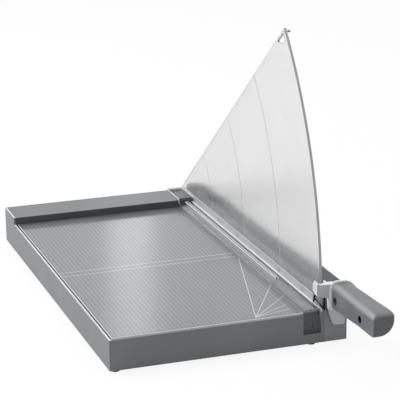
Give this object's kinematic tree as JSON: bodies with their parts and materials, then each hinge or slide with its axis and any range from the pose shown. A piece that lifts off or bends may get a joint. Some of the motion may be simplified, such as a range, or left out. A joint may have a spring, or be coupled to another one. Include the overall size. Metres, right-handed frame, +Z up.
{
  "type": "office arm cutter",
  "caption": "Free-standing grey office arm cutter for A3 sheets with printed bed, clear clamp strip, clear sail-shaped guard and a long blade arm with a moulded grip",
  "frame": {"origin": "middle of the space the cutter fills, at the underside of its feet", "axes": "+X to the right along the front, towards the blade side; +Y to the back, towards the arm's pivot; +Z up"},
  "size_m": [0.2892, 0.617, 0.3445],
  "materials": {
    "painted_base": "satin grey paint, fine grain",
    "painted_side": "satin light grey paint",
    "printed_bed": "glossy grey sheet with printed grid",
    "knife_steel": "ground steel",
    "zinc_steel": "zinc plated",
    "black_steel": "blackened steel",
    "black_rubber": "matte",
    "clear_sheet": "clear plastic, slightly frosted",
    "clear_strip": "clear plastic",
    "arm_paint": "cast aluminium, satin grey",
    "pale_plastic": "satin pale grey moulding",
    "grip_plastic": "satin mid grey moulding",
    "dark_plastic": "satin dark grey",
    "bronze": "sintered bronze"
  },
  "bodies": {
    "root": {"base_tray": "painted_base", "side_channel": "painted_side", "rear_rail": "painted_side", "bed_plate": "printed_bed", "edge_strip": "painted_side", "lower_knife": "knife_steel", "knife_screws": "black_steel", "cross_members": "zinc_steel", "bottom_cover": "zinc_steel", "bottom_screws": "black_steel", "rubber_feet": "black_rubber", "foot_screws": "black_steel", "channel_screws": "black_steel", "rail_screws": "black_steel", "pivot_bracket": "zinc_steel", "bracket_screws": "black_steel", "pivot_bolt": "zinc_steel", "pivot_nut": "zinc_steel", "disc_springs": "zinc_steel", "thrust_washer": "bronze", "guard_sail": "clear_sheet", "guard_foot": "clear_strip", "guard_rivets": "zinc_steel", "apex_stop": "dark_plastic", "arm_bumper": "black_rubber", "clamp_hinge_pin": "zinc_steel", "clamp_spring": "zinc_steel"},
    "arm": {"arm_beam": "arm_paint", "pivot_bush": "bronze", "blade": "knife_steel", "blade_screws": "zinc_steel", "guard_shoe": "pale_plastic", "shoe_screws": "black_steel", "guard_finger": "black_steel", "handle_tang": "zinc_steel", "tang_screws": "black_steel", "handle_grip": "grip_plastic", "grip_screws": "black_steel"},
    "clamp": {"clamp_bar": "clear_strip"}
  },
  "joints": [
    {"name": "arm_hinge", "type": "hinge", "parent": "root", "child": "arm", "pos_m": [0.1173, 0.2805, 0.0385], "axis": [-1, 0, 0], "range_deg": [0, 36]},
    {"name": "clamp_hinge", "type": "hinge", "parent": "root", "child": "clamp", "pos_m": [0.0915, 0.2986, 0.0436], "axis": [1, 0, 0], "range_deg": [0, 0.35], "stiffness_Nm_per_rad": 10, "springref_deg": -1.15}
  ]
}
